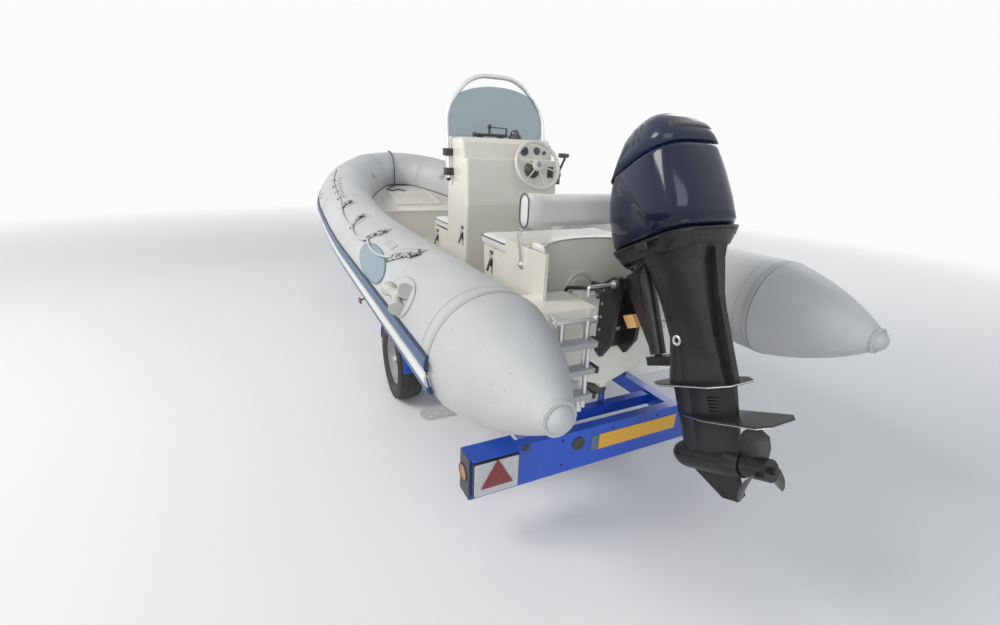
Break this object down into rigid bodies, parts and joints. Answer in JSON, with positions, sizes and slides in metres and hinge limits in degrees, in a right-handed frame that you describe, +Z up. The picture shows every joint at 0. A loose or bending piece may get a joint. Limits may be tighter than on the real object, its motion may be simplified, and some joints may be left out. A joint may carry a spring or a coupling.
{
  "type": "rigid inflatable boat on a road trailer",
  "caption": "Rigid inflatable boat with console, bench, windscreen hoop and tilted outboard motor, standing on its single-axle road trailer and jockey wheel.",
  "frame": {"origin": "on the ground under the middle of the whole length, on the centreline", "axes": "+X towards the bow, +Y to port, +Z up"},
  "size_m": [6.6176, 2.1092, 2.22],
  "materials": {
    "acrylic": "tinted acrylic",
    "black_plastic": "black plastic",
    "blue_steel": "blue painted steel",
    "galvanised": "galvanised steel",
    "grp": "glossy moulded gelcoat",
    "lamp": "clear lamp lens",
    "motor_black": "black glossy cowl",
    "motor_metal": "black painted aluminium",
    "rim": "silver painted steel",
    "roller": "rubber roller",
    "rope": "braided rope",
    "stainless": "polished stainless",
    "strake_rubber": "ribbed rubber",
    "tube_fabric": "coated inflatable fabric, satin",
    "tyre": "tyre rubber",
    "vinyl": "marine vinyl",
    "white_plastic": "white plastic",
    "wood": "bare softwood"
  },
  "bodies": {
    "root": {"aft_cushion": "vinyl", "axle": "galvanised", "bench_base": "grp", "bow_line": "rope", "bow_locker": "grp", "bow_snubber": "roller", "bow_tube": "tube_fabric", "clamp_bracket": "motor_metal", "console": "grp", "coupling_head": "galvanised", "cross_members": "blue_steel", "dash_instruments": "black_plastic", "drawbar": "blue_steel", "frame_rails": "blue_steel", "front_seat_base": "grp", "helm_controls": "black_plastic", "hull": "grp", "hull_bunks": "roller", "hull_fittings": "stainless", "inspection_hatch": "white_plastic", "jockey_column": "galvanised", "keel_rollers": "roller", "lifelines": "rope", "light_board": "blue_steel", "mudguards": "blue_steel", "port_tube": "tube_fabric", "quarter_flats": "grp", "roller_brackets": "blue_steel", "rub_strakes": "strake_rubber", "starboard_tube": "tube_fabric", "step_plates": "galvanised", "stern_cones": "tube_fabric", "tail_lamps": "lamp", "transom": "grp", "winch": "galvanised", "winch_post": "blue_steel", "winch_strap": "rope", "windscreen": "acrylic", "windscreen_hoop": "stainless"},
    "port_wheel": {"port_tyre": "tyre", "port_rim": "rim"},
    "starboard_wheel": {"starboard_tyre": "tyre", "starboard_rim": "rim"},
    "jockey_fork": {"jockey_fork": "galvanised"},
    "jockey_wheel": {"jockey_wheel": "roller"},
    "motor_swivel": {"swivel_bracket": "motor_metal", "tilt_chock": "wood"},
    "motor": {"motor_leg": "motor_metal", "gearcase": "motor_metal", "cowl": "motor_black", "cowl_pan": "motor_black", "powerhead": "motor_metal"},
    "propeller": {"propeller": "motor_metal"},
    "helm": {"helm_wheel": "white_plastic"},
    "bench_lid": {"bench_cushion": "vinyl"},
    "backrest": {"backrest": "vinyl", "backrest_arms": "stainless"},
    "seat_lid": {"front_seat_cushion": "vinyl"},
    "locker_lid": {"bow_locker_lid": "grp"},
    "ladder": {"boarding_ladder": "stainless"}
  },
  "joints": [
    {"name": "port_wheel_spin", "type": "hinge", "parent": "root", "child": "port_wheel", "pos_m": [-0.97, 0.697, 0.29], "axis": [0, 1, 0], "continuous": true},
    {"name": "starboard_wheel_spin", "type": "hinge", "parent": "root", "child": "starboard_wheel", "pos_m": [-0.97, -0.697, 0.29], "axis": [0, 1, 0], "continuous": true},
    {"name": "jockey_swivel", "type": "hinge", "parent": "root", "child": "jockey_fork", "pos_m": [2.85543, 0.096, 0.24], "axis": [0, 0, 1], "continuous": true},
    {"name": "jockey_wheel_spin", "type": "hinge", "parent": "jockey_fork", "child": "jockey_wheel", "pos_m": [2.81743, 0.096, 0.11], "axis": [0, 1, 0], "continuous": true},
    {"name": "motor_tilt", "type": "hinge", "parent": "root", "child": "motor_swivel", "pos_m": [-2.475, 0, 1.2], "axis": [0, 1, 0], "range_deg": [-28, 22]},
    {"name": "motor_steer", "type": "hinge", "parent": "motor_swivel", "child": "motor", "pos_m": [-2.57092, 0, 1.24271], "axis": [0.4067, 0, 0.9135], "range_deg": [-30, 30]},
    {"name": "propeller_spin", "type": "hinge", "parent": "motor", "child": "propeller", "pos_m": [-3.24027, 0, 0.72522], "axis": [0.9135, 0, -0.4067], "continuous": true},
    {"name": "helm_turn", "type": "hinge", "parent": "root", "child": "helm", "pos_m": [-1.35, -0.13, 1.665], "axis": [-0.9272, 0, 0.3746], "range_deg": [-720, 720]},
    {"name": "bench_lid_hinge", "type": "hinge", "parent": "root", "child": "bench_lid", "pos_m": [-1.979, 0, 1.31], "axis": [0, -1, 0], "range_deg": [0, 75]},
    {"name": "backrest_flip", "type": "hinge", "parent": "root", "child": "backrest", "pos_m": [-2.164, 0, 1.24], "axis": [0, 1, 0], "range_deg": [-34, 0]},
    {"name": "seat_lid_hinge", "type": "hinge", "parent": "root", "child": "seat_lid", "pos_m": [-0.9067, 0, 1.248], "axis": [0, -1, 0], "range_deg": [0, 75]},
    {"name": "locker_lid_hinge", "type": "hinge", "parent": "root", "child": "locker_lid", "pos_m": [1.29955, 0, 1.25493], "axis": [0, 1, 0], "range_deg": [0, 88]},
    {"name": "ladder_swing", "type": "hinge", "parent": "root", "child": "ladder", "pos_m": [-2.56, 0.35, 1.085], "axis": [0, 1, 0], "range_deg": [0, 165]}
  ],
  "couplings": [
    {"joint": "helm_turn", "follows": "motor_steer", "ratio": -24}
  ]
}
